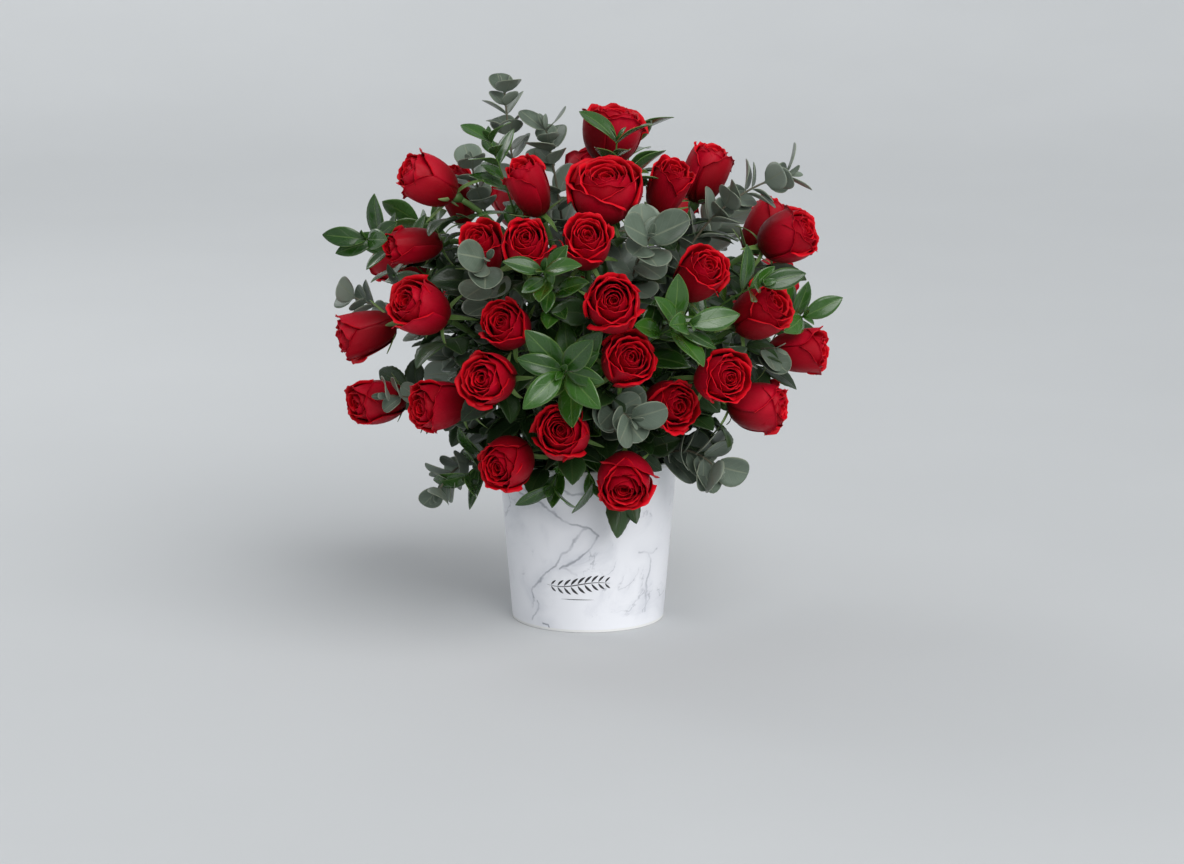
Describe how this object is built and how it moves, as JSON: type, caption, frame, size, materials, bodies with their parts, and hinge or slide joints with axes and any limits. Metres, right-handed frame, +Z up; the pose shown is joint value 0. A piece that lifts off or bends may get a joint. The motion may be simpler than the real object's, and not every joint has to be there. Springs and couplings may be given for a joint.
{
  "type": "flower box",
  "caption": "Round tapered display box with a marble-look wrap, holding a domed bouquet of red roses, eucalyptus and ruscus in a lift-out liner with floral foam.",
  "frame": {"origin": "centre of the base's underside, on the surface the box stands on", "axes": "+Z up along the box's axis; -Y towards the front, the side with the printed ornament and most of the flowers; +X to the right when seen from the front"},
  "size_m": [0.4245, 0.4312, 0.466],
  "materials": {
    "board": "smooth white lined board",
    "marble_print": "satin coated paper printed as white marble with grey clouds and veins",
    "liner_plastic": "satin moulded plastic",
    "floral_foam": "fine open-celled foam, wet",
    "rose": "velvety deep red petals on a green stem",
    "eucalyptus_leaf": "waxy grey-green leaf",
    "ruscus_leaf": "glossy mid-green leaf"
  },
  "bodies": {
    "box": {"box_base": "board", "box_wall": "board", "marble_wrap": "marble_print", "rim_bead": "board"},
    "arrangement": {"liner_pot": "liner_plastic", "pin_holder": "liner_plastic", "foam_brick": "floral_foam", "rose_01": "rose", "rose_02": "rose", "rose_03": "rose", "rose_04": "rose", "rose_05": "rose", "rose_06": "rose", "rose_07": "rose", "rose_08": "rose", "rose_09": "rose", "rose_10": "rose", "rose_11": "rose", "rose_12": "rose", "rose_13": "rose", "rose_14": "rose", "rose_15": "rose", "rose_16": "rose", "rose_17": "rose", "rose_18": "rose", "rose_19": "rose", "rose_20": "rose", "rose_21": "rose", "rose_22": "rose", "rose_23": "rose", "rose_24": "rose", "rose_25": "rose", "rose_26": "rose", "rose_27": "rose", "rose_28": "rose", "rose_29": "rose", "rose_30": "rose", "rose_31": "rose", "rose_32": "rose", "rose_33": "rose", "rose_34": "rose", "rose_35": "rose", "rose_36": "rose", "rose_37": "rose", "rose_38": "rose", "rose_39": "rose", "rose_40": "rose", "eucalyptus_01": "eucalyptus_leaf", "eucalyptus_02": "eucalyptus_leaf", "eucalyptus_03": "eucalyptus_leaf", "eucalyptus_04": "eucalyptus_leaf", "eucalyptus_05": "eucalyptus_leaf", "eucalyptus_06": "eucalyptus_leaf", "eucalyptus_07": "eucalyptus_leaf", "ruscus_01": "ruscus_leaf", "ruscus_02": "ruscus_leaf", "ruscus_03": "ruscus_leaf", "ruscus_04": "ruscus_leaf", "ruscus_05": "ruscus_leaf", "ruscus_06": "ruscus_leaf"}
  },
  "joints": [
    {"name": "liner_lift", "type": "slide", "parent": "box", "child": "arrangement", "axis": [0, 0, 1], "range_m": [0, 0.16]}
  ]
}
